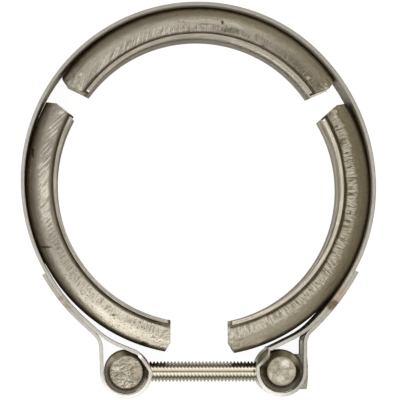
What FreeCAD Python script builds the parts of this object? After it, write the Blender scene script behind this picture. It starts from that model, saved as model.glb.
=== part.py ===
"""V-profile ring clamp for a charge air duct, closed by a T-bolt, lying open.

Frame: the origin is the centre of the band's ring, half way between the two
rows of lips. +Z is the ring's axis, and the bolt lies at -Y, parallel to X.
All lengths are in millimetres and all angles in degrees.
"""
import FreeCAD, Part
import math
import os

# Band: one flat strip with its ends folded back into two loops
band_inner_radius = 49.66
band_thickness = 1.0
band_width = 19.5
ring_top_rise = 0.28
tail_gap = 0.05
tail_weld_diameter = 4.0
tail_weld_offset = 4.6

# Left half of the sprung ring, as arcs from the top that are flatter than the band's circle
# by these lengths. The last arc turns until the strand ends at the trunnion's height
left_arc_turns = (45.0, 45.0)
left_top_flattening = -0.52
left_side_flattening = 0.23
left_low_flattening = 3.5

# Left end of the band, which holds the T-bolt
left_strand_slope = 22.6
left_strand_run = 4.47
left_strand_bend = 24.6
left_strand_reach = 1.55
left_strand_standoff = -0.64
left_leg_lean = 1.5
left_leg_bend = 6.0
left_tail_overlap = 18.0
left_weld_from_tail_end = 10.0

# Right half of the sprung ring, drawn in the same way
right_arc_turns = (45.0, 45.0, 28.0)
right_top_flattening = -1.82
right_side_flattening = 3.87
right_low_flattening = -1.13
right_end_flattening = 12.8

# Right end of the band, which holds the nut's trunnion
right_strand_slope = 26.2
right_strand_run = 1.43
right_strand_bend = 20.3
right_strand_reach = 7.37
right_strand_standoff = 0.3
right_leg_lean = 0.0
right_leg_bend = 5.0
right_tail_overlap = 16.1
right_weld_from_tail_end = 11.3

# Slots and crimped rails of the two loops
slot_width = 12.4
slot_corner = 2.0
slot_end_above_axis = 9.8
crimp_start_angle = 59.0
wrap_start_angle = 2.0
crimp_fullness = 0.8
left_crimp_tilt = 7.5
left_crimp_skew = 1.0
left_crimp_end_angle = 2.0
right_crimp_tilt = 23.5
right_crimp_skew = 0.75
right_crimp_end_angle = 12.0

# V retainers: three pieces of one section, each roll formed a little tighter than the band
top_retainer_tightness = 2.21
left_retainer_tightness = 1.0
right_retainer_tightness = 2.06
retainer_depth = 9.1
retainer_width = 20.5
retainer_thickness = 1.05
retainer_crown_width = 9.4
retainer_flank_angle = 20.0
retainer_crown_bend = 1.3
retainer_lip_bend = 2.2
retainer_span_at_band = 108.4
retainer_end_tilt = 9.6
retainer_crown_trim = 1.1
retainer_trim_depth = 2.8
retainer_corner = 1.0
retainer_seat_gap = 0.04
top_retainer_angle = 89.6
top_contact_angle = 75.0
left_retainer_angle = 205.5
left_contact_angle = 192.5
right_retainer_angle = -24.2
right_contact_angle = -15.0
crown_weld_diameter = 4.0
crown_weld_angles = (-13.0, -4.5, 4.5, 13.0)

# T-bolt: a trunnion barrel with a fully threaded stud
bolt_axis_below_ring = 3.64
stud_diameter = 5.9
stud_depth_past_axis = 2.4
stud_end_chamfer = 0.7
stud_protrusion = 0.3
stud_hole_clearance = 0.02
left_trunnion_diameter = 12.6
left_trunnion_face_diameter = 9.3
trunnion_length = 19.0
trunnion_taper_length = 5.0
trunnion_clearance = 0.1

# Trunnion under the nut, bored through and spot-faced
right_trunnion_rise = 0.3
right_trunnion_diameter = 12.2
right_trunnion_face_diameter = 8.2
right_trunnion_dish = 0.15
through_hole_diameter = 7.0
spot_face_diameter = 12.0
spot_face_from_axis = 2.76

# Hexagon nut
nut_across_flats = 10.0
nut_height = 5.0
nut_chamfer_angle = 30.0
nut_bore_clearance = 0.05
nut_countersink = 0.4


def direction(angle):
    """Unit vector in the ring's plane."""
    return FreeCAD.Vector(math.cos(math.radians(angle)), math.sin(math.radians(angle)), 0)


def left_of(heading):
    """Unit vector to the left of a heading in the ring's plane."""
    return direction(heading + 90)


path_tolerance = 1e-6
match_tolerance = 0.01


class StripPath:
    """Centre line of a bent strip in a plane, made of straight runs and arcs."""

    def __init__(self, start, heading):
        self.point = start
        self.heading = heading
        self.pieces = []

    def run(self, length):
        """Go straight on, where there is a way to go."""
        if abs(length) < path_tolerance:
            return
        end = self.point + direction(self.heading) * length
        self.pieces.append(("run", self.point, end, self.heading))
        self.point = end

    def turn(self, radius, angle):
        """Follow an arc, to the left where the angle is positive."""
        side = 1 if angle > 0 else -1
        centre = self.point + left_of(self.heading) * (side * radius)
        first = self.heading - side * 90
        self.pieces.append(("turn", centre, radius, first, angle, side))
        self.heading += angle
        self.point = centre + direction(first + angle) * radius

    def before_end(self, distance):
        """Point this far before the end of the centre line, and the heading there."""
        for piece in reversed(self.pieces):
            if piece[0] == "run":
                start, end, heading = piece[1:]
                length = start.distanceToPoint(end)
                if distance <= length:
                    return end - direction(heading) * distance, heading
            else:
                centre, radius, first, angle, side = piece[1:]
                length = radius * math.radians(abs(angle))
                if distance <= length:
                    last = first + angle - side * math.degrees(distance / radius)
                    return centre + direction(last) * radius, last + side * 90
            distance -= length

    def side_edges(self, offset):
        """Edges of the strip's face that lies this far to the left of the centre line."""
        edges = []
        for piece in self.pieces:
            if piece[0] == "run":
                shift = left_of(piece[3]) * offset
                edges.append(Part.makeLine(piece[1] + shift, piece[2] + shift))
            else:
                centre, radius, first, angle, side = piece[1:]
                reach = radius - side * offset
                corners = [centre + direction(first + angle * part) * reach for part in (0, 0.5, 1)]
                edges.append(Part.Arc(*corners).toShape())
        return edges

    def strip_face(self, thickness):
        """Flat face of the strip's long section."""
        left = self.side_edges(thickness / 2)
        right = self.side_edges(-thickness / 2)
        start_cap = Part.makeLine(right[0].firstVertex(True).Point, left[0].firstVertex(True).Point)
        end_cap = Part.makeLine(left[-1].lastVertex(True).Point, right[-1].lastVertex(True).Point)
        wire = Part.Wire(Part.__sortEdges__([start_cap, *left, end_cap, *right]))
        return Part.Face(wire)


def level_prism(face, low, high):
    """Raise a face that lies in the ring's plane between two heights."""
    face = face.copy()
    face.translate(FreeCAD.Vector(0, 0, low))
    return face.extrude(FreeCAD.Vector(0, 0, high - low))


def mirrored_in_x(shape):
    """The shape seen in the plane x = 0."""
    return shape.mirror(FreeCAD.Vector(0, 0, 0), FreeCAD.Vector(1, 0, 0))


def mirrored_in_z(shape):
    """The shape seen in the plane z = 0."""
    return shape.mirror(FreeCAD.Vector(0, 0, 0), FreeCAD.Vector(0, 0, 1))


def fused(shapes):
    """One solid from several that meet."""
    whole = shapes[0].multiFuse(shapes[1:]).removeSplitter()
    return whole.Solids[0] if len(whole.Solids) == 1 else whole


def cross_bar(x, y, diameter, start, end):
    """A round bar parallel to X, from one distance right of x to another."""
    base = FreeCAD.Vector(x + start, y, 0)
    return Part.makeCylinder(diameter / 2, end - start, base, FreeCAD.Vector(1, 0, 0))


# Places that follow from the sizes above
band_outer_radius = band_inner_radius + band_thickness
band_mid_radius = band_inner_radius + band_thickness / 2
bolt_axis_y = -band_outer_radius - bolt_axis_below_ring
right_trunnion_y = bolt_axis_y + right_trunnion_rise
half_band = band_width / 2
half_slot = slot_width / 2
rail_width = half_band - half_slot
retainer_length = math.radians(retainer_span_at_band) * band_inner_radius


class Loop:
    """One folded end of the band, drawn as the left one: the right one is mirrored."""

    def __init__(self, trunnion_y, trunnion_diameter, arcs, strand, leg, tail, crimp):
        self.wrap_radius = trunnion_diameter / 2 + trunnion_clearance
        self.arc_turns, flattening = arcs
        self.arc_radii = [band_mid_radius + flatter for flatter in flattening]
        slope, self.strand_run, self.strand_bend, self.strand_reach, standoff = strand
        self.strand_heading = -slope
        self.rail_radius = self.wrap_radius + standoff
        lean, self.leg_bend = leg
        self.leg_heading = 90 + lean
        self.tail_overlap, self.weld_from_end = tail
        self.crimp_tilt, self.crimp_skew, self.crimp_end_angle = crimp
        self.tail_shift = band_thickness + tail_gap
        self.tail_bend = self.strand_bend + self.tail_shift
        self.last_turn = self.turn_down_to(trunnion_y + self.strand_end_offset().y)
        self.centre = self.strand().point - self.strand_end_offset()

    def ring(self):
        """Centre line of this half of the ring, from the top to where the strand leaves it."""
        path = StripPath(FreeCAD.Vector(0, band_mid_radius + ring_top_rise, 0), 180)
        for radius, turn in zip(self.arc_radii, (*self.arc_turns, self.last_turn)):
            path.turn(radius, turn)
        path.heading -= 360
        return path

    def turn_down_to(self, end_height):
        """Turn of the ring's last arc that ends the strand at this height."""
        self.last_turn = 0
        path = self.ring()
        arc_centre = path.point + left_of(path.heading) * self.arc_radii[-1]
        bend_end = end_height - direction(self.strand_heading).y * self.strand_reach
        bend_centre = bend_end + left_of(self.strand_heading).y * self.strand_bend
        drop = arc_centre.y - bend_centre
        inside = self.arc_radii[-1] - self.strand_bend
        steepness = math.atan2(self.strand_run, inside)
        steepness += math.acos(drop / math.hypot(inside, self.strand_run))
        return -math.degrees(steepness) - path.heading

    def strand(self):
        """Centre line from the top of the ring to where the slot starts above the trunnion."""
        path = self.ring()
        path.run(self.strand_run)
        path.turn(self.strand_bend, self.strand_heading - path.heading)
        path.run(self.strand_reach)
        return path

    def bend_centre(self):
        """Centre of the strand's bend, which the tail shares."""
        ring = self.ring()
        ring.run(self.strand_run)
        return ring.point + left_of(ring.heading) * self.strand_bend

    def join_angle(self):
        """Direction from the bend's centre in which the leg meets the band."""
        aside = left_of(self.leg_heading)
        leg = (self.centre - self.bend_centre()).dot(aside) + self.wrap_radius + band_thickness / 2
        share = (leg + self.leg_bend) / (self.tail_bend + self.leg_bend)
        on_the_bend = self.leg_heading + 90 + math.degrees(math.acos(share))
        return min(on_the_bend, self.strand_heading + 270)

    def slot_start_angle(self):
        """Direction from the trunnion in which the strand clears the barrel's full size."""
        reach = math.acos(min(self.rail_radius / self.wrap_radius, 1))
        return self.strand_heading + 90 + math.degrees(reach)

    def strand_end_offset(self):
        """The strand's end as seen from the trunnion's centre."""
        outwards = left_of(self.strand_heading)
        along = math.tan(math.radians(self.slot_start_angle() - self.strand_heading - 90))
        level = self.rail_radius + band_thickness / 2
        return outwards * level - direction(self.strand_heading) * (self.rail_radius * along)

    def wrap_and_tail(self):
        """Centre line from the rails' end round the barrel, up the leg and onto the band."""
        first = wrap_start_angle
        radius = self.wrap_radius + band_thickness / 2
        path = StripPath(self.centre + direction(first) * radius, first - 90)
        path.turn(radius, self.leg_heading - 360 - path.heading)
        path.heading += 360
        join = self.join_angle()
        normal = direction(join)
        meeting = self.bend_centre() + normal * self.tail_bend
        turn = join - 90 - path.heading
        to_tail = (meeting - path.point).dot(normal) / direction(path.heading).dot(normal)
        set_back = self.leg_bend * math.tan(math.radians(turn / 2))
        path.run(to_tail - set_back)
        path.turn(self.leg_bend, turn)
        path.run((meeting - path.point).dot(direction(path.heading)))
        path.turn(self.tail_bend, self.ring().heading + 270 - join)
        path.run(self.strand_run)
        path.turn(self.arc_radii[-1] + self.tail_shift, -self.tail_overlap)
        return path

    def rail_section(self, share):
        """Section of the upper rail, from the slot's start at 0 to the wrap's start at 1."""
        first = self.slot_start_angle()
        angle = first + (wrap_start_angle - first) * share
        tangent_angle = self.strand_heading + 90
        if angle > tangent_angle:
            radius = self.rail_radius / math.cos(math.radians(angle - tangent_angle))
            facing = tangent_angle
        else:
            back = (tangent_angle - angle) / (tangent_angle - wrap_start_angle)
            radius = self.rail_radius + (self.wrap_radius - self.rail_radius) * back ** 3
            facing = angle
        tilt = math.radians(self.crimp_tilt) * self.crimp_depth(angle)
        inner = self.centre + direction(angle) * radius + FreeCAD.Vector(0, 0, half_slot)
        across = direction(facing) * -math.sin(tilt) + FreeCAD.Vector(0, 0, math.cos(tilt))
        outward = direction(facing) * math.cos(tilt) + FreeCAD.Vector(0, 0, math.sin(tilt))
        corners = [
            inner,
            inner + across * rail_width,
            inner + across * rail_width + outward * band_thickness,
            inner + outward * band_thickness,
        ]
        return Part.makePolygon(corners + [inner])

    def crimp_depth(self, angle):
        """How deep the rail's edge is pressed in at an angle about the trunnion, from 0 to 1."""
        share = (crimp_start_angle - angle) / (crimp_start_angle - self.crimp_end_angle)
        if share <= 0 or share >= 1:
            return 0
        return math.sin(math.pi * share ** self.crimp_skew) ** crimp_fullness

    def rail(self):
        """The upper rail beside the slot, with its edge pressed in over the taper."""
        steps = 16
        sections = [self.rail_section(step / steps) for step in range(steps + 1)]
        return Part.makeLoft(sections, True, False)

    def slot_cutter(self):
        """The slot through the wrap and the leg, with rounded corners at its end."""
        reach = self.wrap_radius + 3 * band_thickness
        drum = Part.makeCylinder(reach, slot_width, self.centre - FreeCAD.Vector(0, 0, half_slot))
        depth = 6 * band_thickness
        corner = self.centre + FreeCAD.Vector(-self.wrap_radius - depth, 0, -half_slot)
        window = Part.makeBox(2 * depth, slot_end_above_axis, slot_width, corner)
        ends = [edge for edge in window.Edges if self.at_window_end(edge)]
        return drum.fuse(window.makeFillet(slot_corner, ends))

    def at_window_end(self, edge):
        """Whether an edge of the window runs along X at the slot's upper end."""
        middle = edge.CenterOfMass
        level = self.centre.y + slot_end_above_axis
        along_x = abs(edge.tangentAt(edge.FirstParameter).x) > 0.9
        return along_x and abs(middle.y - level) < slot_corner / 2

    def tail_welds(self):
        """Weld nuggets that join the tail to the band beneath it."""
        on_tail, heading = self.wrap_and_tail().before_end(self.weld_from_end)
        inwards = left_of(heading) * -1
        nuggets = []
        for height in (-tail_weld_offset, tail_weld_offset):
            top = on_tail + FreeCAD.Vector(0, 0, height)
            length = band_thickness + tail_gap
            nuggets.append(Part.makeCylinder(tail_weld_diameter / 2, length, top, inwards))
        return nuggets

    def pieces(self):
        """Solids of this end, which meet face to face."""
        strand = level_prism(self.strand().strip_face(band_thickness), -half_band, half_band)
        tail = level_prism(self.wrap_and_tail().strip_face(band_thickness), -half_band, half_band)
        rail = self.rail()
        return [strand, tail.cut(self.slot_cutter()), rail, mirrored_in_z(rail), *self.tail_welds()]


left_loop = Loop(
    bolt_axis_y, left_trunnion_diameter,
    arcs=(left_arc_turns, (left_top_flattening, left_side_flattening, left_low_flattening)),
    strand=(left_strand_slope, left_strand_run, left_strand_bend, left_strand_reach,
            left_strand_standoff),
    leg=(left_leg_lean, left_leg_bend),
    tail=(left_tail_overlap, left_weld_from_tail_end),
    crimp=(left_crimp_tilt, left_crimp_skew, left_crimp_end_angle))
right_loop = Loop(
    right_trunnion_y, right_trunnion_diameter,
    arcs=(right_arc_turns, (right_top_flattening, right_side_flattening,
                            right_low_flattening, right_end_flattening)),
    strand=(right_strand_slope, right_strand_run, right_strand_bend, right_strand_reach,
            right_strand_standoff),
    leg=(right_leg_lean, right_leg_bend),
    tail=(right_tail_overlap, right_weld_from_tail_end),
    crimp=(right_crimp_tilt, right_crimp_skew, right_crimp_end_angle))

# Places along the bolt that follow from where the loops end
left_trunnion_x = left_loop.centre.x
right_trunnion_x = -right_loop.centre.x
nut_seat_x = right_trunnion_x + spot_face_from_axis
stud_start_x = left_trunnion_x - stud_depth_past_axis
stud_end_x = nut_seat_x + nut_height + stud_protrusion


def make_band():
    """The whole strip: ring, two slotted loops and two welded tails."""
    left = left_loop.pieces()
    right = [mirrored_in_x(piece) for piece in right_loop.pieces()]
    return fused(left + right)


def band_arc_facing(angle):
    """Centre and radius of the arc of the band's inner face that faces away from this direction."""
    on_the_left = 90 <= angle % 360 <= 270
    loop = left_loop if on_the_left else right_loop
    drawn_angle = angle % 360 if on_the_left else 180 - angle
    for _, centre, radius, first, turn, _ in loop.ring().pieces:
        if first <= drawn_angle <= first + turn:
            x = centre.x if on_the_left else -centre.x
            return FreeCAD.Vector(x, centre.y, 0), radius - band_thickness / 2


def retainer_section(crown_radius):
    """Half of the V section as a strip path, with the ring's radius along X and its axis along Y."""
    half_thickness = retainer_thickness / 2
    crown = crown_radius - half_thickness
    lip = crown_radius - retainer_depth + half_thickness
    flank = 90 + (90 - retainer_flank_angle)
    lip_turn = flank - 90
    crown_set_back = retainer_crown_bend * math.tan(math.radians((flank - 90) / 2))
    lip_set_back = retainer_lip_bend * math.tan(math.radians(lip_turn / 2))
    flank_length = (crown - lip) / math.cos(math.radians(retainer_flank_angle))
    path = StripPath(FreeCAD.Vector(crown, 0, 0), 90)
    path.run(retainer_crown_width / 2 - crown_set_back)
    path.turn(retainer_crown_bend, flank - 90)
    path.run(flank_length - crown_set_back - lip_set_back)
    path.turn(retainer_lip_bend, -lip_turn)
    path.run(retainer_width / 2 - path.point.y)
    return path


def make_retainer(tightness, middle_angle, contact_angle):
    """One V retainer, with its crown welded to the band round the direction where they touch."""
    crown_radius = band_inner_radius - tightness
    span = math.degrees(retainer_length / crown_radius)
    half = retainer_section(crown_radius).strip_face(retainer_thickness)
    half.rotate(FreeCAD.Vector(0, 0, 0), FreeCAD.Vector(1, 0, 0), 90)
    half.rotate(FreeCAD.Vector(0, 0, 0), FreeCAD.Vector(0, 0, 1), middle_angle - span / 2)
    upper = half.revolve(FreeCAD.Vector(0, 0, 0), FreeCAD.Vector(0, 0, 1), span)
    shell = fused([upper, mirrored_in_z(upper)])
    for side in (-1, 1):
        shell = shell.cut(end_offcut(crown_radius, middle_angle + side * span / 2, side))
    shell = round_lip_corners(shell, crown_radius - retainer_depth)
    arc_centre, arc_radius = band_arc_facing(contact_angle)
    to_centre = arc_radius - retainer_seat_gap - crown_radius
    centre = arc_centre + direction(contact_angle) * to_centre
    shell.translate(centre)
    band_face = Part.makeCylinder(
        arc_radius, band_width, arc_centre - FreeCAD.Vector(0, 0, half_band))
    nuggets = []
    for angle in crown_weld_angles:
        radial = direction(contact_angle + angle)
        base = centre + radial * (crown_radius - retainer_thickness / 2)
        nugget = Part.makeCylinder(crown_weld_diameter / 2, 2 * retainer_thickness, base, radial)
        nuggets.append(nugget.common(band_face))
    return fused([shell, *nuggets])


def end_offcut(crown_radius, angle, side):
    """Prism off one end of a retainer, whose flanks then reach further than its crown and lips."""
    away = left_of(angle) * side
    tip = direction(angle) * (crown_radius - retainer_trim_depth)
    outer = tip + (direction(angle) * retainer_trim_depth - away * retainer_crown_trim) * 2
    reach = 2 * retainer_depth
    inner = tip + direction(angle + 180 + side * retainer_end_tilt) * reach
    corners = [tip, inner, inner + away * reach, outer + away * reach, outer]
    face = Part.Face(Part.makePolygon([*corners, tip]))
    return level_prism(face, -retainer_width, retainer_width)


def round_lip_corners(shell, lip_radius):
    """Round the four corners of the lips in their own surface."""
    tilted_thickness = retainer_thickness / math.cos(math.radians(retainer_end_tilt))
    corners = []
    for edge in shell.Edges:
        middle = edge.CenterOfMass
        radius = math.hypot(middle.x, middle.y)
        at_edge = abs(abs(middle.z) - retainer_width / 2) < match_tolerance
        radial = abs(edge.Length - tilted_thickness) < match_tolerance
        if at_edge and radial and radius < lip_radius + retainer_thickness:
            corners.append(edge)
    return shell.makeFillet(retainer_corner, corners)


def barrel(diameter, face_diameter, dish):
    """A trunnion barrel on the Z axis with tapered ends and a shallow dish in each face."""
    radius = diameter / 2
    face = face_diameter / 2
    end = trunnion_length / 2
    shoulder = end - trunnion_taper_length
    rim = FreeCAD.Vector(face, 0, end)
    edges = [
        Part.makeLine(FreeCAD.Vector(0, 0, 0), FreeCAD.Vector(radius, 0, 0)),
        Part.makeLine(FreeCAD.Vector(radius, 0, 0), FreeCAD.Vector(radius, 0, shoulder)),
        Part.makeLine(FreeCAD.Vector(radius, 0, shoulder), rim),
    ]
    middle = FreeCAD.Vector(0, 0, end - dish)
    if dish > 0:
        bow = (face * face + dish * dish) / (2 * dish)
        half_way = FreeCAD.Vector(face / 2, 0, end - dish + bow - math.sqrt(bow * bow - face * face / 4))
        edges.append(Part.Arc(rim, half_way, middle).toShape())
    else:
        edges.append(Part.makeLine(rim, middle))
    edges.append(Part.makeLine(middle, FreeCAD.Vector(0, 0, 0)))
    profile = Part.Face(Part.Wire(edges))
    upper = profile.revolve(FreeCAD.Vector(0, 0, 0), FreeCAD.Vector(0, 0, 1), 360)
    return fused([upper, mirrored_in_z(upper)])


def make_bolt_trunnion():
    """Left barrel with the blind hole that the stud is fixed in."""
    body = barrel(left_trunnion_diameter, left_trunnion_face_diameter, 0)
    body.translate(FreeCAD.Vector(left_trunnion_x, bolt_axis_y, 0))
    bore = stud_diameter + 2 * stud_hole_clearance
    hole = cross_bar(left_trunnion_x, bolt_axis_y, bore, -stud_depth_past_axis, left_trunnion_diameter)
    return body.cut(hole)


def make_stud():
    """Stud at its thread's outer diameter, with a chamfered free end."""
    length = stud_end_x - stud_start_x
    stud = cross_bar(stud_start_x, bolt_axis_y, stud_diameter, 0, length)
    rims = [edge for edge in stud.Edges if edge.CenterOfMass.x > stud_end_x - match_tolerance]
    return stud.makeChamfer(stud_end_chamfer, rims)


def make_nut_trunnion():
    """Right barrel with the bolt's hole and the nut's spot face."""
    body = barrel(right_trunnion_diameter, right_trunnion_face_diameter, right_trunnion_dish)
    body.translate(FreeCAD.Vector(right_trunnion_x, right_trunnion_y, 0))
    reach = right_trunnion_diameter
    hole = cross_bar(right_trunnion_x, bolt_axis_y, through_hole_diameter, -reach, reach)
    seat = cross_bar(right_trunnion_x, bolt_axis_y, spot_face_diameter, spot_face_from_axis, reach)
    return body.cut(hole).cut(seat)


def make_nut():
    """Hexagon nut with chamfered corners and a countersunk bore, seated on the spot face."""
    across_corners = nut_across_flats / math.cos(math.radians(30))
    origin = FreeCAD.Vector(0, 0, 0)
    rim = [direction(60 * corner) * (across_corners / 2) for corner in range(6)]
    hexagon = Part.Face(Part.makePolygon(rim + [rim[0]])).extrude(FreeCAD.Vector(0, 0, nut_height))
    drop = (across_corners - nut_across_flats) / 2 * math.tan(math.radians(nut_chamfer_angle))
    turned = Part.Face(Part.makePolygon([
        origin,
        FreeCAD.Vector(nut_across_flats / 2, 0, 0),
        FreeCAD.Vector(across_corners / 2, 0, drop),
        FreeCAD.Vector(across_corners / 2, 0, nut_height - drop),
        FreeCAD.Vector(nut_across_flats / 2, 0, nut_height),
        FreeCAD.Vector(0, 0, nut_height),
        origin,
    ])).revolve(origin, FreeCAD.Vector(0, 0, 1), 360)
    bore_radius = stud_diameter / 2 + nut_bore_clearance
    nut = hexagon.common(turned).cut(Part.makeCylinder(bore_radius, nut_height))
    wide = bore_radius + nut_countersink
    low = Part.makeCone(wide, bore_radius, nut_countersink)
    high = Part.makeCone(
        bore_radius, wide, nut_countersink, FreeCAD.Vector(0, 0, nut_height - nut_countersink))
    nut = nut.cut(low).cut(high)
    nut.rotate(origin, FreeCAD.Vector(0, 1, 0), 90)
    nut.translate(FreeCAD.Vector(nut_seat_x, bolt_axis_y, 0))
    return nut


nodes = {
    "band": make_band(),
    "retainer_top": make_retainer(top_retainer_tightness, top_retainer_angle, top_contact_angle),
    "retainer_left": make_retainer(left_retainer_tightness, left_retainer_angle, left_contact_angle),
    "retainer_right": make_retainer(right_retainer_tightness, right_retainer_angle, right_contact_angle),
    "bolt_trunnion": make_bolt_trunnion(),
    "threaded_stud": make_stud(),
    "nut_trunnion": make_nut_trunnion(),
    "hex_nut": make_nut(),
}

os.makedirs("parts", exist_ok=True)
for name, shape in nodes.items():
    shape.exportStep(os.path.join("parts", name + ".step"))
    box = shape.BoundBox
    print(name, "solids", len(shape.Solids), "valid", shape.isValid(), "volume", round(shape.Volume, 1),
          "x", round(box.XMin, 2), round(box.XMax, 2), "y", round(box.YMin, 2), round(box.YMax, 2),
          "z", round(box.ZMin, 2), round(box.ZMax, 2))
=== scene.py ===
"""Looks of the V-profile duct clamp: camera, light, floor, thread and steels.

Everything is in metres. `mm` turns a length in millimetres into metres.
"""
import math

import bpy
from mathutils import Matrix, Vector


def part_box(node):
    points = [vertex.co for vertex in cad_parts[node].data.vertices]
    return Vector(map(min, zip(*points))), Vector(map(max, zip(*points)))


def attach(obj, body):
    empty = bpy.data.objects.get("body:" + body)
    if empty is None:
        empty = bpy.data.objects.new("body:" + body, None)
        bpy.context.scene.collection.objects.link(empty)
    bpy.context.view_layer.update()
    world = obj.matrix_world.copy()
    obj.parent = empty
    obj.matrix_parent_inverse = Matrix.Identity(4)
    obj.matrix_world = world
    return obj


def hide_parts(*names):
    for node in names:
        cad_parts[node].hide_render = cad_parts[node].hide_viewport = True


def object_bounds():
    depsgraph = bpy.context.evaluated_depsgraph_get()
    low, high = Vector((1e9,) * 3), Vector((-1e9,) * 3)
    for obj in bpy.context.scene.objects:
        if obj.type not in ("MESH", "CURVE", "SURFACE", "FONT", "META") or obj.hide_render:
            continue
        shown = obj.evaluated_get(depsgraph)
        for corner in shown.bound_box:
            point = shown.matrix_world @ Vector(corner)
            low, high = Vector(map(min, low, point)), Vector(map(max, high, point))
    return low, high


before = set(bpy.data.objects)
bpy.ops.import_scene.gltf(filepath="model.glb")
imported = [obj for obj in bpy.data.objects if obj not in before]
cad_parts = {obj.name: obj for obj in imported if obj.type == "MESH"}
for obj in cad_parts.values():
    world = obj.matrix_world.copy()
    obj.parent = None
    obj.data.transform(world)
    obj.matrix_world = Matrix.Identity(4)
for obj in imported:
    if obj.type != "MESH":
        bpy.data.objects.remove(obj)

mm = 0.001
cad_low, cad_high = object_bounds()

# Camera: it stood above the lower left of the clamp and looked at the ring's middle
camera_place = Vector((-30.2, -36.7, 832.0)) * mm
camera_target = Vector((0.78, -5.14, 0.0)) * mm
seen_width = 114.8 * mm
film_width = 36.0

# Lamps: two equal softboxes that face the ring's middle
lamp_size = 0.26
lamp_colour = (1.0, 0.98, 0.95)

# Floor: the share of its own white that the camera sees, and how strong that white is
floor_glow_share = 0.80
floor_glow = 1.19
floor_half_width = 1.6
floor_gap = 0.05
floor_colour = (0.82, 0.82, 0.82, 1)

# Sky: its strength low down and in the ring, the halo above that and the dip overhead. Each
# change runs between two heights on a sphere of radius 1
sky_low = 0.20
sky_ring = 0.76
sky_ring_heights = (0.48, 0.70)
sky_halo = 0.40
sky_halo_heights = (0.82, 0.93)
sky_zenith_dip = 0.60
sky_zenith_heights = (0.978, 0.997)
sky_least = 0.02
sky_colour = (1.0, 0.985, 0.95, 1)
dusk_colour = (1.0, 0.90, 0.66, 1)

# Patches of the sky: azimuth, elevation, full and end angle, strength. The dark one is dusky
sky_lobes = (
    (105, 50, 5, 45, 0.24),
    (6, 44, 10, 50, -0.40),
    (242, 55, 8, 31, 0.72),
    (318, 58, 5, 30, 0.25),
    (188, 16, 10, 34, 0.45),
)

# Thread of the bolt. Its crest and flank are parts of half a pitch, and its flanks are straight
# apart from their share of easing
thread_pitch = 1.0
thread_root_radius = 2.4
thread_end_chamfer = 0.7
thread_phase = 0.22
thread_crest = 0.16
thread_flank = 0.66
thread_easing = 0.45
steps_round = 64
steps_per_pitch = 12

# The retainers' own arcs: centre, crown radius and middle direction
top_arc = ((0.09, 2.44), 47.45, 89.6)
left_arc = ((-0.55, -0.70), 48.66, 205.5)
right_arc = ((1.84, -2.15), 47.60, -24.2)

# Retainers: the radius at which lengths along them are measured, the distances from their middle
# between which the ends wear, and depths under the crown
flank_radius = 43.0
end_wear = (34.0, 43.0)
score_pivot_depth = 5.5
lip_bend = (7.45, 7.5)
lip_start = (7.9, 8.4)

# Band: the ring, and places with their radius of the tints on its edges and round its welds
ring_centre = (0.0, 0.0)
band_radius = 50.0
crimp_spots = ((-15.6, -52.0, 2.6), (18.6, -50.6, 2.0))
crimp_glint_spot = (-16.6, -49.9, 0.7)
weld_height = 5.0
right_weld_tint = (39.6, -34.0, 5.2)
right_weld_burn = (38.0, -35.2, 2.4)
left_weld_tint = (-38.4, -35.0, 4.0)

# Barrels: their radius, that of their end faces, and how far the nut's lies above the bolt's axis
bolt_barrel_radius = 6.3
bolt_face_radius = 4.65
nut_barrel_radius = 6.1
nut_face_radius = 4.1
nut_barrel_rise = 0.3

# Painted highlights on the nut barrel's face, from its centre, and the nut's dark spot
face_highlight_spots = (
    (0.9, 2.1, 1.5, (1.1, 1.0)),
    (-0.4, -2.1, 1.7, (1.2, 0.8)),
    (-3.2, -1.5, 1.0, (0.6, 1.6)),
)
nut_spot_place = (30.4, -56.6, 1.0, (0.5, 1.4))

# Colours of the retainers. Those with three numbers are scaled by a tone
retainer_dull = (0.37, 0.343, 0.288)
retainer_clean = (0.52, 0.488, 0.418)
retainer_mottle = (0.66, 0.625, 0.545)
drawn_line = (0.26, 0.235, 0.18, 1)
crown_shade = (0.27, 0.24, 0.185, 1)
# painted shade over the scored zone
shaded_score = (0.21, 0.19, 0.155, 1)
pale_score = (0.90, 0.86, 0.77)
dark_score = (0.17, 0.15, 0.115, 1)
dent_glint = (0.90, 0.86, 0.76, 1)
pit_dark = (0.16, 0.14, 0.11, 1)
# painted shade in the corner under the crown
crown_corner_shade = (0.13, 0.10, 0.055, 1)
# painted shade along the lip's bend
bend_shade = (0.17, 0.14, 0.085, 1)
lip_dull = (0.50, 0.465, 0.395)
lip_worn = (0.74, 0.70, 0.61)
lip_wall = (0.45, 0.415, 0.35, 1)
end_cut = (0.12, 0.10, 0.065, 1)
mark_black = (0.05, 0.04, 0.026, 1)

# Colours of the band
strip_dull = (0.50, 0.475, 0.42, 1)
strip_clean = (0.64, 0.615, 0.56, 1)
# painted shade on the ring's inner face
inner_face_shade = (0.48, 0.435, 0.355, 1)
edge_dull = (0.36, 0.345, 0.32, 1)
edge_clean = (0.52, 0.505, 0.475, 1)
edge_streak = (0.62, 0.60, 0.565, 1)
# painted shade on the edges at the top
shaded_top_edge = (0.25, 0.235, 0.205, 1)
# painted light on the edges of the loops and their wraps
lit_loop_dull = (0.50, 0.49, 0.47, 1)
lit_loop_clean = (0.74, 0.725, 0.695, 1)
lit_wrap_dull = (0.86, 0.85, 0.81, 1)
lit_wrap_clean = (0.99, 0.98, 0.95, 1)
crimp_tint = (0.40, 0.345, 0.285, 1)
crimp_glint = (0.98, 0.96, 0.92, 1)
weld_rust = (0.48, 0.34, 0.225, 1)
weld_burn = (0.13, 0.095, 0.055, 1)
weld_brown = (0.30, 0.20, 0.11, 1)

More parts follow.
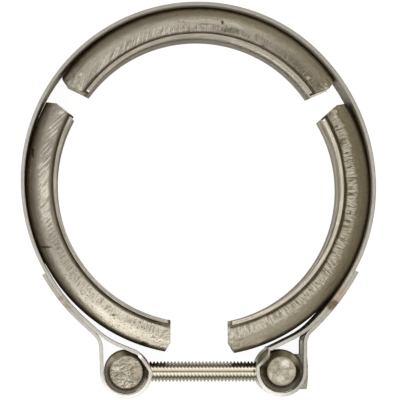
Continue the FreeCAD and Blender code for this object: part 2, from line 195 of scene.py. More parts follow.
# Colours of the barrels: their sides and tapers, then the sawn and the turned end faces
barrel_dull = (0.36, 0.33, 0.275, 1)
barrel_clean = (0.50, 0.47, 0.405, 1)
taper_dark = (0.11, 0.089, 0.046, 1)
taper_brown = (0.19, 0.156, 0.082, 1)
# painted light on a taper's side towards the ring
taper_lit = (0.78, 0.71, 0.53, 1)
taper_rust = (0.30, 0.20, 0.13, 1)
# painted shade, black, in the gap at a taper's widest
taper_rim_shade = (0.04, 0.033, 0.02, 1)
# painted highlight at a barrel's rim
rim_glint = (0.97, 0.94, 0.87, 1)
saw_dark = (0.18, 0.16, 0.125, 1)
saw_light = (0.60, 0.565, 0.475, 1)
saw_ridge = (0.86, 0.825, 0.73, 1)
saw_blotch = (0.30, 0.27, 0.22, 1)
filed_flat = (0.42, 0.365, 0.295, 1)
sawn_rim = (0.20, 0.17, 0.11, 1)
face_dull = (0.31, 0.28, 0.225, 1)
face_clean = (0.54, 0.51, 0.435, 1)
# painted highlight on a turned face
face_highlight = (0.86, 0.84, 0.76, 1)
face_speck = (0.20, 0.18, 0.13, 1)
turned_rim = (0.22, 0.19, 0.125, 1)

# Colours of the thread and the nut
crest_dull = (0.45, 0.415, 0.325, 1)
crest_clean = (0.60, 0.565, 0.465, 1)
thread_root = (0.48, 0.44, 0.34, 1)
nut_dull = (0.56, 0.53, 0.46, 1)
nut_clean = (0.76, 0.73, 0.66, 1)
nut_shade = (0.13, 0.11, 0.07, 1)
nut_spot = (0.05, 0.045, 0.035, 1)


def look(eye, target):
    """Matrix of a camera at one point that looks at another, with +Y up in the picture."""
    back = (eye - target).normalized()
    right = Vector((0, 1, 0)).cross(back).normalized()
    up = back.cross(right)
    turned = Matrix((right, up, back)).transposed().to_4x4()
    return Matrix.Translation(eye) @ turned


def make_camera():
    data = bpy.data.cameras.new("camera")
    data.sensor_width = film_width
    data.lens = film_width * (camera_place - camera_target).length / seen_width
    data.clip_start = 0.05
    data.clip_end = 20
    camera = bpy.data.objects.new("camera", data)
    camera.matrix_world = look(camera_place, camera_target)
    bpy.context.scene.collection.objects.link(camera)
    bpy.context.scene.camera = camera


def softbox(name, place, power):
    """A square area lamp."""
    data = bpy.data.lights.new(name, "AREA")
    data.size = lamp_size
    data.energy = power
    data.color = lamp_colour
    lamp = bpy.data.objects.new(name, data)
    lamp.rotation_mode = "QUATERNION"
    lamp.rotation_quaternion = Vector(place).normalized().to_track_quat("Z", "Y")
    lamp.location = place
    lamp.visible_camera = False
    bpy.context.scene.collection.objects.link(lamp)


class Nodes:
    """Short hand for a node tree."""

    def __init__(self, tree):
        self.tree = tree
        self.tree.nodes.clear()

    def add(self, kind, **settings):
        node = self.tree.nodes.new(kind)
        for name, value in settings.items():
            setattr(node, name, value)
        return node

    def set(self, socket, value):
        if isinstance(value, bpy.types.NodeSocket):
            self.tree.links.new(value, socket)
        elif value is not None:
            socket.default_value = value

    def math(self, operation, a, b=None, c=None):
        node = self.add("ShaderNodeMath", operation=operation)
        for socket, value in zip(node.inputs, (a, b, c)):
            self.set(socket, value)
        return node.outputs[0]

    def times(self, a, b):
        return self.math("MULTIPLY", a, b)

    def line(self, value, slope, offset):
        """Value times a slope, plus an offset."""
        return self.math("MULTIPLY_ADD", value, slope, offset)

    def magnitude(self, value):
        return self.math("ABSOLUTE", value)

    def ramp_between(self, value, low, high, from_value=0.0, to_value=1.0):
        """Smooth step of a value from one level to another."""
        node = self.add("ShaderNodeMapRange", interpolation_type="SMOOTHSTEP")
        for name, given in (("Value", value), ("From Min", low), ("From Max", high),
                            ("To Min", from_value), ("To Max", to_value)):
            self.set(node.inputs[name], given)
        return node.outputs["Result"]

    def window(self, value, low, high, soft):
        """1 between two levels and 0 outside, with soft ends."""
        rise = self.ramp_between(value, low - soft, low + soft)
        fall = self.ramp_between(value, high - soft, high + soft, 1.0, 0.0)
        return self.times(rise, fall)

    def mix(self, factor, a, b):
        """Colour between two."""
        node = self.add("ShaderNodeMix", data_type="RGBA")
        self.set(node.inputs[0], factor)
        self.set(node.inputs[6], a)
        self.set(node.inputs[7], b)
        return node.outputs[2]

    def noise(self, vector, scale, detail=2.0, rough=0.5):
        node = self.add("ShaderNodeTexNoise")
        self.set(node.inputs["Vector"], vector)
        self.set(node.inputs["Scale"], scale)
        self.set(node.inputs["Detail"], detail)
        self.set(node.inputs["Roughness"], rough)
        return node.outputs[0]

    def streaks(self, first, first_scale, second, second_scale, third, detail=3.0, rough=0.5):
        """Noise with a scale of its own along each of two values, so drawn out along one."""
        spot = self.join(self.times(first, first_scale), self.times(second, second_scale), third)
        return self.noise(spot, 1.0, detail, rough)

    def split(self, vector):
        node = self.add("ShaderNodeSeparateXYZ")
        self.set(node.inputs[0], vector)
        return node.outputs[0], node.outputs[1], node.outputs[2]

    def join(self, x, y, z):
        node = self.add("ShaderNodeCombineXYZ")
        for socket, value in zip(node.inputs, (x, y, z)):
            self.set(socket, value)
        return node.outputs[0]

    def place(self):
        """Object coordinates in millimetres."""
        coords = self.add("ShaderNodeTexCoord")
        scaled = self.add("ShaderNodeVectorMath", operation="SCALE")
        self.set(scaled.inputs[0], coords.outputs["Object"])
        scaled.inputs["Scale"].default_value = 1000.0
        return scaled.outputs[0]

    def facing(self):
        """The surface's normal in the object's own axes."""
        return self.split(self.add("ShaderNodeTexCoord").outputs["Normal"])

    def polar(self, centre, middle=0.0):
        """Radius, angle in radians and height about an upright axis, in millimetres.

        The angle runs from a middle direction, which is given in degrees.
        """
        x, y, z = self.split(self.place())
        x = self.math("SUBTRACT", x, centre[0])
        y = self.math("SUBTRACT", y, centre[1])
        square = self.math("ADD", self.times(x, x), self.times(y, y))
        c = math.cos(math.radians(middle))
        s = math.sin(math.radians(middle))
        ahead = self.line(x, c, self.times(y, s))
        aside = self.line(y, c, self.times(x, -s))
        return self.math("SQRT", square), self.math("ARCTAN2", aside, ahead), z

    def near(self, x, y, radius, stretch=(1.0, 1.0)):
        """1 close to a point of the plan, in millimetres, fading to 0 at a ragged outline."""
        px, py, _ = self.split(self.place())
        dx = self.times(self.math("SUBTRACT", px, x), 1 / stretch[0])
        dy = self.times(self.math("SUBTRACT", py, y), 1 / stretch[1])
        away = self.math("SQRT", self.line(dx, dx, self.times(dy, dy)))
        ragged = self.math("SUBTRACT", self.noise(self.place(), 1.3, 3.0, 0.6), 0.5)
        away = self.line(ragged, radius, away)
        return self.ramp_between(away, 0.35 * radius, radius, 1.0, 0.0)

    def unit(self, vector):
        node = self.add("ShaderNodeVectorMath", operation="NORMALIZE")
        self.set(node.inputs[0], vector)
        return node.outputs[0]

    def blend_normals(self, a, b, share):
        """Unit vector between two normals."""
        node = self.add("ShaderNodeMix", data_type="VECTOR")
        self.set(node.inputs[0], share)
        self.set(node.inputs[4], a)
        self.set(node.inputs[5], b)
        return self.unit(node.outputs[1])

    def bump(self, height, depth, normal):
        node = self.add("ShaderNodeBump")
        node.inputs["Strength"].default_value = 1.0
        self.set(node.inputs["Distance"], depth)
        self.set(node.inputs["Height"], height)
        self.set(node.inputs["Normal"], normal)
        return node.outputs[0]

    def soft_edges(self, radius):
        """Normal that rounds sharp edges."""
        node = self.add("ShaderNodeBevel", samples=6)
        node.inputs["Radius"].default_value = radius
        return node.outputs[0]


def scaled(colour, tone):
    """Colour times a tone, which is one factor or one for each of red, green and blue."""
    factors = tone if isinstance(tone, tuple) else (tone, tone, tone)
    return (*(min(1.0, part * factor) for part, factor in zip(colour, factors)), 1)


def metal(name, build):
    """A steel whose build function returns its colour, roughness and normal."""
    material = bpy.data.materials.new(name)
    material.use_nodes = True
    n = Nodes(material.node_tree)
    shader = n.add("ShaderNodeBsdfPrincipled")
    colour, rough, normal = build(n)
    shader.inputs["Metallic"].default_value = 1.0
    n.set(shader.inputs["Base Color"], colour)
    n.set(shader.inputs["Roughness"], rough)
    n.set(shader.inputs["Normal"], normal)
    out = n.add("ShaderNodeOutputMaterial")
    n.tree.links.new(shader.outputs[0], out.inputs[0])
    return material


def retainer_steel(arc, seed, tone, pale_tone, lip_tone, lean, pitch, scored, pale, dense, pitted,
                   shade, bend_width, marks, glints):
    """Rolled sheet: painted shade under the crown, then smooth, then scored across where it was
    formed.

    Lengths along the piece run from its middle and depths from its crown, in millimetres. The
    scores lie between the depths in `scored` and lean with their distance from the middle, within
    the limits in `lean`. They turn pale between the places in `pale`, and fill up between those
    in `dense`.
    """
    centre, crown_radius, middle = arc
    lean_from, lean_to, lean_rate = lean
    upright = min(lean_from, lean_to, key=abs)

    def build(n):
        radius, angle, height = n.polar(centre, middle)
        nx, ny, nz = n.facing()
        place = n.place()
        along = n.times(angle, flank_radius)
        depth = n.math("SUBTRACT", crown_radius, radius)
        drift = n.line(n.noise(n.join(along, seed, 0.0), 0.12, 2.0), 1.6, -0.8)
        depth_here = n.math("ADD", depth, drift)
        end = n.ramp_between(n.magnitude(along), *end_wear)
        # scores across the flank, in light and dark streaks
        leaning = n.math("MINIMUM", n.math("MAXIMUM", along, lean_from), lean_to)
        slant = n.line(n.noise(n.join(along, seed, 4.0), 0.05, 1.0), 0.6, -0.3)
        slant = n.line(n.math("SUBTRACT", leaning, upright), lean_rate, slant)
        sheared = n.line(n.math("SUBTRACT", depth, score_pivot_depth), slant, along)
        scores = n.streaks(sheared, pitch, depth, 0.22, seed, rough=0.6)
        fine = n.streaks(sheared, 2.2 * pitch, depth, 0.45, seed + 7, rough=0.65)
        patches = n.noise(n.join(n.times(along, 0.10), seed, 0.0), 1.0, 2.0)
        mottle = n.noise(place, 0.9, 3.0, 0.65)
        ragged = n.line(mottle, 2.4, n.math("SUBTRACT", depth_here, 1.2))
        zone = n.times(n.ramp_between(ragged, scored[0] - 0.9, scored[0] + 0.5),
                       n.ramp_between(depth_here, scored[1] - 0.45, scored[1] + 0.45, 1.0, 0.0))
        zone = n.times(zone, n.ramp_between(patches, 0.30, 0.55, 0.60, 1.0))
        zone = n.times(zone, n.line(end, -0.5, 1.0))
        # dents at the sheared ends, grain along the sheet and pits
        dents = n.streaks(along, 0.55, depth, 0.75, seed, rough=0.6)
        dents = n.times(dents, n.line(end, 0.9, 0.1))
        grain = n.streaks(along, 0.5, radius, 6.0, height)
        cloud = n.noise(place, 0.16, 3.0, 0.55)
        pits = n.ramp_between(n.noise(place, 1.7, 2.0, 0.6), 0.28, 0.40)
        # smooth steel, with drawn lines and a shade under the crown
        base = n.mix(cloud, scaled(retainer_dull, tone), scaled(retainer_clean, tone))
        blotch = n.ramp_between(mottle, 0.40, 0.70, 0.0, 0.30)
        base = n.mix(blotch, base, scaled(retainer_mottle, tone))
        drawn = n.streaks(along, 0.16, depth, 2.2, seed, rough=0.65)
        base = n.mix(n.ramp_between(drawn, 0.42, 0.60, 0.28, 0.0), base, drawn_line)
        base = n.mix(n.ramp_between(depth, 1.6, 3.6, 0.22, 0.0), base, crown_shade)
        pale_here = n.ramp_between(along, pale[0], pale[1], 0.10, 1.0)
        close = n.math("ADD", scores, n.ramp_between(along, dense[0], dense[1], 0.0, 0.10))
        pale_streak = n.times(n.ramp_between(close, 0.49, 0.58), n.times(zone, pale_here))
        # painted shade over the scored zone away from its pale stretch, as strong as shade
        dull = n.times(n.line(pale_here, -shade, shade), zone)
        colour = n.mix(dull, base, shaded_score)
        colour = n.mix(pale_streak, colour, scaled(pale_score, pale_tone))
        dark = n.times(n.ramp_between(fine, 0.38, 0.52, 1.0, 0.0), zone)
        dark = n.times(dark, n.line(pale_here, pitted - 0.85, 0.85))
        colour = n.mix(dark, colour, dark_score)
        # painted highlights on the dents near the ends and at the glints
        dent_highlights = n.times(n.ramp_between(dents, 0.47, 0.60), n.window(depth, 2.6, 6.8, 0.6))
        for x, y, size, stretch in glints:
            dent_highlights = n.math("MAXIMUM", dent_highlights, n.near(x, y, size, stretch))
        colour = n.mix(n.times(dent_highlights, 0.85), colour, dent_glint)
        colour = n.mix(n.ramp_between(pits, 0.0, 1.0, 0.45, 0.0), colour, pit_dark)
        # painted shade, dark brown, in the corner under the crown and in the lip's bend
        corner_shade = n.line(n.noise(place, 0.5, 3.0, 0.6), -0.7, depth)
        corner_shade = n.ramp_between(corner_shade, -0.1, 0.85, 1.0, 0.0)
        corner_shade = n.times(corner_shade, n.ramp_between(n.magnitude(nz), 0.0, 0.3))
        colour = n.mix(corner_shade, colour, crown_corner_shade)
        # painted shade along the dark line of the lip's bend
        bend = n.window(depth_here, lip_bend[0] - bend_width, lip_bend[1], 0.35)
        colour = n.mix(n.times(bend, 0.60), colour, bend_shade)
        # lip, worn in streaks, and its wall
        worn = n.streaks(along, 0.12, radius, 2.6, seed, rough=0.6)
        lip_colour = n.mix(n.ramp_between(worn, 0.35, 0.65), scaled(lip_dull, lip_tone),
                           scaled(lip_worn, lip_tone))
        wall = n.ramp_between(n.magnitude(nz), 0.3, 0.7, 1.0, 0.0)
        lip_colour = n.mix(wall, lip_colour, lip_wall)
        colour = n.mix(n.ramp_between(depth, *lip_start), colour, lip_colour)
        # sheared ends, which face along the arc
        turned = n.math("ADD", angle, math.radians(middle))
        endwise = n.math("SUBTRACT", n.times(ny, n.math("COSINE", turned)),
                         n.times(nx, n.math("SINE", turned)))
        cut = n.ramp_between(n.magnitude(endwise), 0.5, 0.85)
        colour = n.mix(n.times(cut, 0.8), colour, end_cut)
        for x, y, size, stretch, strength in marks:
            mark = n.times(n.near(x, y, size, stretch), strength)
            colour = n.mix(mark, colour, mark_black)
        rough = n.line(grain, 0.14, 0.24)
        rough = n.line(corner_shade, 0.25, rough)
        rough = n.line(n.math("MAXIMUM", pale_streak, dent_highlights), 0.38, rough)
        relief = n.times(n.line(fine, 0.5, n.math("SUBTRACT", scores, 0.75)), zone)
        relief = n.line(pits, 0.35, relief)
        relief = n.line(dents, 2.2, relief)
        relief = n.line(grain, 0.10, relief)
        return colour, rough, n.bump(relief, 0.10 * mm, n.soft_edges(0.22 * mm))
    return build


def band_steel(n):
    """Rolled strip with bright sheared edges, painted shade inside, and heat tints round the tail
    welds.
    """
    radius, angle, _ = n.polar(ring_centre)
    nx, ny, nz = n.facing()
    place = n.place()
    x, y, z = n.split(place)
    along = n.times(angle, band_radius)
    grain = n.streaks(along, 0.25, z, 5.0, radius)
    cloud = n.noise(place, 0.2, 3.0, 0.55)
    colour = n.mix(cloud, strip_dull, strip_clean)
    # painted shade on the ring's inner face
    inward = n.math("ADD", n.times(nx, n.math("COSINE", angle)), n.times(ny, n.math("SINE", angle)))
    inner = n.times(n.ramp_between(inward, -0.8, -0.4, 1.0, 0.0),
                    n.ramp_between(n.magnitude(z), 9.4, 9.75, 1.0, 0.25))
    inner = n.times(inner, n.window(radius, 48.5, 50.9, 0.3))
    colour = n.mix(n.times(inner, 0.85), colour, inner_face_shade)
    # sheared edges: streaked, with painted shade at the top and painted light on the loops and
    # their wraps
    edge = n.ramp_between(n.magnitude(nz), 0.75, 0.95)
    speck = n.noise(place, 1.1, 3.0, 0.6)
    bright = n.mix(speck, edge_dull, edge_clean)
    streak = n.ramp_between(n.streaks(along, 0.3, radius, 3.2, 0.0), 0.4, 0.62)
    bright = n.mix(n.times(streak, 0.5), bright, edge_streak)
    bright = n.mix(n.ramp_between(y, 10.0, 38.0, 0.0, 0.40), bright, shaded_top_edge)
    # painted light on the loops and, whiter, on their wraps
    loops = n.times(n.ramp_between(y, -50.0, -36.0, 1.0, 0.0),
                    n.ramp_between(x, 25.0, 29.0, 1.0, 0.0))
    bright = n.mix(loops, bright, n.mix(speck, lit_loop_dull, lit_loop_clean))
    wraps = n.times(n.ramp_between(y, -60.0, -54.0, 1.0, 0.0),
                    n.ramp_between(x, 22.0, 27.0, 1.0, 0.0))
    bright = n.mix(wraps, bright, n.mix(speck, lit_wrap_dull, lit_wrap_clean))
    for spot_x, spot_y, size in crimp_spots:
        bright = n.mix(n.times(n.near(spot_x, spot_y, size), 0.75), bright, crimp_tint)
    bright = n.mix(n.near(*crimp_glint_spot), bright, crimp_glint)
    colour = n.mix(edge, colour, bright)
    # heat tints on the edges and round the tails' spot welds, two across the width
    patch = n.ramp_between(n.noise(place, 0.8, 3.0, 0.6), 0.38, 0.6)
    spots = n.magnitude(n.math("SUBTRACT", n.magnitude(z), weld_height))
    spots = n.math("MAXIMUM", edge, n.ramp_between(spots, 0.8, 3.2, 0.7, 0.0))
    patch = n.times(patch, spots)
    tint = n.times(n.near(*right_weld_tint), n.line(patch, 0.5, n.times(spots, 0.25)))
    colour = n.mix(tint, colour, weld_rust)
    tint = n.times(n.near(*right_weld_burn), n.line(patch, 0.4, n.times(spots, 0.55)))
    colour = n.mix(tint, colour, weld_burn)
    tint = n.times(n.near(*left_weld_tint), n.times(patch, 0.6))
    colour = n.mix(tint, colour, weld_brown)
    rough = n.line(grain, 0.18, 0.26)
    rough = n.line(edge, 0.08, rough)
    rough = n.line(inner, 0.22, rough)
    relief = n.line(speck, 0.6, n.times(grain, 0.4))
    return colour, rough, n.bump(relief, 0.03 * mm, n.soft_edges(0.30 * mm))


def turned_taper(n, centre, barrel_radius, glint_and_rust_share):
    """Colour of a barrel's side: steel at the middle, and brown tapers.

    The tapers carry painted shade, black at their widest, and painted light on the side towards the
    ring.
    """
    radius, angle, height = n.polar(centre)
    _, ny, nz = n.facing()
    rings = n.streaks(radius, 3.5, angle, 1.5, 0.0, detail=2.0)
    side = n.mix(n.ramp_between(rings, 0.35, 0.65), taper_dark, taper_brown)
    # painted light on the side towards the ring
    side = n.mix(n.ramp_between(ny, 0.1, 0.8, 0.0, 0.85), side, taper_lit)
    side = n.mix(n.ramp_between(ny, -0.8, -0.3, 0.55 * glint_and_rust_share, 0.0), side, taper_rust)
    # painted shade, black, in the gap at the taper's widest
    side = n.mix(n.ramp_between(radius, barrel_radius - 0.55, barrel_radius - 0.1), side, taper_rim_shade)
    barrel = n.times(n.ramp_between(n.magnitude(nz), 0.04, 0.15, 1.0, 0.0),
                     n.ramp_between(n.magnitude(height), 4.0, 5.5, 1.0, 0.0))
    side = n.mix(barrel, side, n.mix(rings, barrel_dull, barrel_clean))
    # painted highlight: a bright crescent at the rim
    return n.mix(n.times(turned_glint(n, centre), glint_and_rust_share), side, rim_glint)


def turned_glint(n, centre):
    """1 on a bright crescent at a barrel's rim."""
    radius, angle, _ = n.polar(centre)
    return n.times(n.window(radius, 5.85, 6.15, 0.08), n.window(angle, -1.05, -0.40, 0.10))


def face_edge(n, centre, face_radius):
    """1 at the uneven edge of a barrel's end face and 0 inside it."""
    radius = n.polar(centre)[0]
    uneven = n.line(n.noise(n.place(), 0.7, 3.0, 0.6), 0.9, -0.45)
    return n.ramp_between(n.math("ADD", radius, uneven), face_radius - 0.75, face_radius + 0.15)


def sawn_steel(n):
    """Barrel with sawn end faces and dark turned tapers."""
    place = n.place()
    x, y, _ = n.split(place)
    face = n.ramp_between(n.magnitude(n.facing()[2]), 0.9, 0.98)
    wave = n.streaks(x, 0.30, y, 0.45, 3.0, detail=2.0)
    drift = n.line(x, -0.22, n.line(wave, 2.4, y))
    saw = n.streaks(x, 0.55, drift, 1.9, 0.0, rough=0.65)
    saw_fine = n.streaks(x, 0.9, drift, 5.0, 5.0, detail=2.0)
    flat = n.near(bolt_barrel[0] + 3.1, bolt_barrel[1] - 0.2, 2.3)
    blotch = n.noise(place, 0.45, 2.0, 0.5)
    colour = n.mix(n.ramp_between(saw, 0.38, 0.58), saw_dark, saw_light)
    colour = n.mix(n.ramp_between(saw_fine, 0.52, 0.66, 0.0, 0.8), colour, saw_ridge)
    colour = n.mix(n.ramp_between(blotch, 0.38, 0.58, 0.35, 0.0), colour, saw_blotch)
    colour = n.mix(n.times(flat, 0.85), colour, filed_flat)
    colour = n.mix(n.times(face_edge(n, bolt_barrel, bolt_face_radius), 0.75), colour, sawn_rim)
    colour = n.mix(face, turned_taper(n, bolt_barrel, bolt_barrel_radius, 1.0), colour)
    rough = n.line(saw, 0.2, 0.3)
    rough = n.math("MAXIMUM", rough, n.times(turned_glint(n, bolt_barrel), 0.8))
    relief = n.times(n.line(saw_fine, 0.5, saw), face)
    relief = n.times(relief, n.math("SUBTRACT", 1.0, flat))
    return colour, rough, n.bump(relief, 0.26 * mm, n.soft_edges(0.12 * mm))


def turned_steel(n):
    """Barrel with satin end faces and dark turned tapers."""
    place = n.place()
    radius, angle, _ = n.polar(nut_barrel)
    face = n.ramp_between(n.magnitude(n.facing()[2]), 0.9, 0.98)
    rings = n.streaks(radius, 5.0, angle, 0.6, 0.0, detail=2.0)
    cloud = n.noise(place, 0.7, 4.0, 0.65)
    speck = n.noise(place, 2.0, 2.0, 0.6)
    colour = n.mix(n.ramp_between(cloud, 0.34, 0.62), face_dull, face_clean)
    # painted highlights on the face
    for dx, dy, size, stretch in face_highlight_spots:
        light = n.near(nut_barrel[0] + dx, nut_barrel[1] + dy, size, stretch)
        colour = n.mix(n.times(light, 0.65), colour, face_highlight)
    colour = n.mix(n.ramp_between(speck, 0.30, 0.42, 0.55, 0.0), colour, face_speck)
    colour = n.mix(n.times(face_edge(n, nut_barrel, nut_face_radius), 0.75), colour, turned_rim)
    colour = n.mix(face, turned_taper(n, nut_barrel, nut_barrel_radius, 0.0), colour)
    rough = n.line(cloud, 0.15, 0.32)
    relief = n.line(rings, 0.4, n.times(n.noise(place, 1.6, 3.0), 1.2))
    return colour, rough, n.bump(relief, 0.06 * mm, n.soft_edges(0.15 * mm))


def thread_steel(n):
    """Rolled thread: bright crests and flanks, dull roots."""
    place = n.place()
    x, y, z = n.split(place)
    off = n.math("SUBTRACT", y, bolt_axis_y)
    radius = n.math("SQRT", n.math("ADD", n.times(off, off), n.times(z, z)))
    cloud = n.noise(place, 0.45, 3.0, 0.6)
    bright = n.mix(cloud, crest_dull, crest_clean)
    colour = n.mix(n.ramp_between(radius, 2.42, 2.85), thread_root, bright)
    grain = n.noise(n.join(n.times(x, 9.0), y, z), 1.0, 2.0)
    rough = n.line(grain, 0.08, 0.09)
    outwards = n.add("ShaderNodeVectorTransform", vector_type="NORMAL",
                     convert_from="OBJECT", convert_to="WORLD")
    n.set(outwards.inputs[0], n.join(0.0, off, z))
    surface = n.add("ShaderNodeNewGeometry").outputs["Normal"]
    rolled = n.blend_normals(n.unit(outwards.outputs[0]), surface, 0.06)
    return colour, rough, n.bump(grain, 0.01 * mm, rolled)


def nut_steel(n):
    """Satin steel, with painted shade beside the barrel and one dark spot."""
    place = n.place()
    cloud = n.noise(place, 0.6, 3.0, 0.6)
    grain = n.noise(place, 3.0, 2.0, 0.6)
    colour = n.mix(cloud, nut_dull, nut_clean)
    # painted shade on the nut in the crevice beside the barrel
    colour = n.mix(n.ramp_between(n.polar(nut_barrel)[0], 6.3, 6.7, 0.9, 0.0), colour, nut_shade)
    colour = n.mix(n.times(n.near(*nut_spot_place), 0.9), colour, nut_spot)
    rough = n.line(grain, 0.2, 0.28)
    return colour, rough, n.bump(grain, 0.02 * mm, n.soft_edges(0.2 * mm))


def thread_radius(phase, crest_radius):
    """Radius of the thread's profile at a phase from 0 to 1: root, flank, crest, flank."""
    away = abs(phase - 0.5) * 2
    share = 1 - (away - thread_crest) / thread_flank
    share = max(0.0, min(1.0, share))
    eased = share * share * (3 - 2 * share)
    share = (1 - thread_easing) * share + thread_easing * eased
    return thread_root_radius + (crest_radius - thread_root_radius) * share


def make_thread():
    """The bolt's right-handed thread with chamfered, closed ends, as one surface."""
    low, high = (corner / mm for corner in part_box("threaded_stud"))
    crest = (high.y - low.y) / 2
    axis = Vector((0, (high.y + low.y) / 2, (high.z + low.z) / 2))
    end_radius = crest - thread_end_chamfer
    rows = round((high.x - low.x + 2 * end_radius + thread_pitch) / thread_pitch * steps_per_pitch)
    first = low.x - end_radius - thread_pitch + thread_phase
    vertices = []
    for row in range(rows + 1 + steps_per_pitch):
        for turn in range(steps_round):
            s = first + (row / steps_per_pitch + turn / steps_round) * thread_pitch
            r = thread_radius(row % steps_per_pitch / steps_per_pitch, crest)
            x = max(low.x, min(high.x, s))
            past = max(low.x - s, s - high.x, 0.0)
            inside = min(x - low.x, high.x - x)
            r = max(0.0, min(r, end_radius + inside) - past)
            angle = 2 * math.pi * turn / steps_round
            vertices.append((x * mm, (axis.y + r * math.cos(angle)) * mm,
                             (axis.z + r * math.sin(angle)) * mm))
    faces = []
    for row in range(rows):
        for turn in range(steps_round):
            a = row * steps_round + turn
            b = a + 1 if turn < steps_round - 1 else (row + steps_per_pitch) * steps_round
            faces.append((a, a + steps_round, b + steps_round, b))
    mesh = bpy.data.meshes.new("thread")
    mesh.from_pydata(vertices, [], faces)
    mesh.validate()
    for face in mesh.polygons:
        face.use_smooth = True
    thread = bpy.data.objects.new("thread", mesh)
    bpy.context.scene.collection.objects.link(thread)
    return thread


def dress(name, material):
    """Gives a CAD node a material."""
    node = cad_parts[name]
    node.data.materials.clear()
    node.data.materials.append(material)


def make_floor():
    """Pale floor that stays white where nothing shades it."""
    size = floor_half_width
    mesh = bpy.data.meshes.new("floor")
    level = cad_low.z - floor_gap * mm
    corners = [(-size, -size, level), (size, -size, level),
               (size, size, level), (-size, size, level)]
    mesh.from_pydata(corners, [], [(0, 1, 2, 3)])
    floor = bpy.data.objects.new("floor", mesh)
    bpy.context.scene.collection.objects.link(floor)
    material = bpy.data.materials.new("floor")
    material.use_nodes = True
    n = Nodes(material.node_tree)
    diffuse = n.add("ShaderNodeBsdfDiffuse")
    diffuse.inputs["Color"].default_value = floor_colour
    glow = n.add("ShaderNodeEmission")
    glow.inputs["Color"].default_value = (1, 1, 1, 1)
    rays = n.add("ShaderNodeLightPath")
    mix = n.add("ShaderNodeMixShader")
    n.set(mix.inputs[0], n.times(rays.outputs["Is Camera Ray"], floor_glow_share))
    n.tree.links.new(diffuse.outputs[0], mix.inputs[1])
    n.tree.links.new(glow.outputs[0], mix.inputs[2])
    n.set(glow.inputs["Strength"], floor_glow)
    out = n.add("ShaderNodeOutputMaterial")
    n.tree.links.new(mix.outputs[0], out.inputs[0])
    floor.data.materials.append(material)


def make_world():
    """Soft light from a ring of sky round the camera, with bright patches and a dusky one.

    The camera itself sees plain white.
    """
    world = bpy.data.worlds.new("studio")
    bpy.context.scene.world = world
    world.use_nodes = True
    n = Nodes(world.node_tree)
    way = n.add("ShaderNodeTexCoord").outputs["Generated"]
    z = n.split(way)[2]
    level = n.ramp_between(z, *sky_ring_heights, sky_low, sky_ring)
    level = n.line(n.ramp_between(z, *sky_halo_heights), sky_halo, level)
    overhead = n.ramp_between(z, *sky_zenith_heights)
    level = n.line(overhead, -sky_halo - sky_zenith_dip, level)
    dusk = None
    for azimuth, elevation, full, end, strength in sky_lobes:
        a = math.radians(azimuth)
        e = math.radians(elevation)
        middle = (math.cos(e) * math.cos(a), math.cos(e) * math.sin(a), math.sin(e))
        along = n.add("ShaderNodeVectorMath", operation="DOT_PRODUCT")
        n.set(along.inputs[0], way)
        along.inputs[1].default_value = middle
        near = n.ramp_between(along.outputs["Value"], math.cos(math.radians(end)),
                              math.cos(math.radians(full)))
        level = n.line(near, strength, level)
        if strength < 0:
            dusk = near
    tone = n.mix(dusk, sky_colour, dusk_colour)
    light = n.add("ShaderNodeBackground")
    n.set(light.inputs["Color"], tone)
    n.set(light.inputs["Strength"], n.math("MAXIMUM", level, sky_least))
    white = n.add("ShaderNodeBackground")
    white.inputs["Color"].default_value = (1, 1, 1, 1)
    rays = n.add("ShaderNodeLightPath")
    mix = n.add("ShaderNodeMixShader")
    n.set(mix.inputs[0], rays.outputs["Is Camera Ray"])
    n.tree.links.new(light.outputs[0], mix.inputs[1])
    n.tree.links.new(white.outputs[0], mix.inputs[2])
    out = n.add("ShaderNodeOutputWorld")
    n.tree.links.new(mix.outputs[0], out.inputs[0])


# Axes of the bolt and the barrels in the CAD model, in millimetres
bolt_low, bolt_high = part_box("threaded_stud")
bolt_axis_y = (bolt_low.y + bolt_high.y) / 2 / mm
barrel_low, barrel_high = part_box("bolt_trunnion")
bolt_barrel = ((barrel_low.x + barrel_high.x) / 2 / mm, bolt_axis_y)
barrel_low, barrel_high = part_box("nut_trunnion")
nut_barrel = (barrel_low.x / mm + nut_barrel_radius, bolt_axis_y + nut_barrel_rise)

make_camera()
make_world()
make_floor()
softbox("key", (-0.21, -0.37, 0.62), 0.55)
softbox("fill", (0.08, 0.42, 0.62), 0.25)

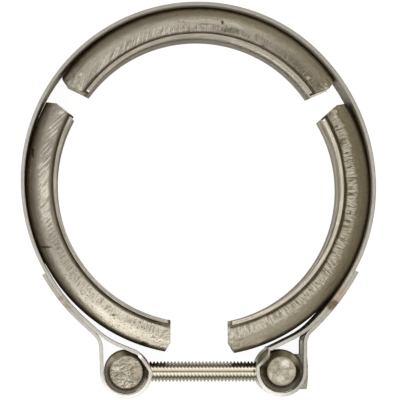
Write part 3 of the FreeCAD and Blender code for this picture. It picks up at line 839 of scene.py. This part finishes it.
# Marks are dark: place, radius, stretch and strength. Glints are bright: place, radius, stretch
dress("retainer_top", metal("retainer_top_steel", retainer_steel(
    top_arc, seed=1.0, tone=1.06, pale_tone=1.05, lip_tone=0.76, lean=(6.0, 45.0, -0.075),
    pitch=1.5, scored=(5.0, 7.0), pale=(-6.0, 16.0), dense=(50.0, 60.0), pitted=0.75,
    shade=0.25, bend_width=0.1,
    marks=[(6.95, 45.3, 0.75, (0.7, 1.2), 0.9), (18.5, 38.6, 0.5, (1, 1), 0.6),
           (9.3, 43.0, 1.3, (3.2, 0.8), 0.45), (2.0, 44.8, 0.35, (9.0, 0.8), 0.5)],
    glints=[(-33.4, 30.4, 0.7, (1, 1)), (31.5, 29.5, 0.8, (1.2, 1))])))
dress("retainer_left", metal("retainer_left_steel", retainer_steel(
    left_arc, seed=21.0, tone=0.93, pale_tone=1.0, lip_tone=0.75, lean=(-45.0, 0.0, -0.055),
    pitch=1.0, scored=(4.2, 6.5), pale=(-3.0, -12.0), dense=(-27.0, -20.0), pitted=0.35,
    shade=0.65, bend_width=0.75,
    marks=[(-24.1, -38.1, 0.6, (1.2, 0.8), 0.85), (-43.2, -18.8, 0.9, (2.4, 0.5), 0.85),
           (-47.0, 8.0, 0.9, (0.6, 2.2), 0.85), (-15.4, -46.1, 1.0, (1.5, 0.7), 0.8)],
    glints=[(-42.0, 15.2, 0.4, (1, 1.3)), (-39.0, 19.4, 0.7, (1.6, 1))])))
dress("retainer_right", metal("retainer_right_steel", retainer_steel(
    right_arc, seed=47.0, tone=(0.90, 0.875, 0.82), pale_tone=1.03, lip_tone=1.15,
    lean=(0.0, 0.0, 0.0), pitch=1.9, scored=(4.5, 7.0), pale=(-60.0, -40.0),
    dense=(-70.0, -60.0), pitted=0.65, shade=0.0, bend_width=0.15,
    marks=[(43.4, -9.0, 0.5, (0.6, 1.4), 0.8)],
    glints=[(39.3, 18.4, 0.8, (1, 1)), (40.3, 16.0, 0.7, (0.8, 1.2))])))
dress("band", metal("band_steel", band_steel))
dress("bolt_trunnion", metal("sawn_steel", sawn_steel))
dress("nut_trunnion", metal("turned_steel", turned_steel))
dress("hex_nut", metal("nut_steel", nut_steel))

thread = make_thread()
thread.data.materials.append(metal("thread_steel", thread_steel))
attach(thread, "clamp")
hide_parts("threaded_stud")

bpy.context.scene.view_settings.view_transform = "Standard"
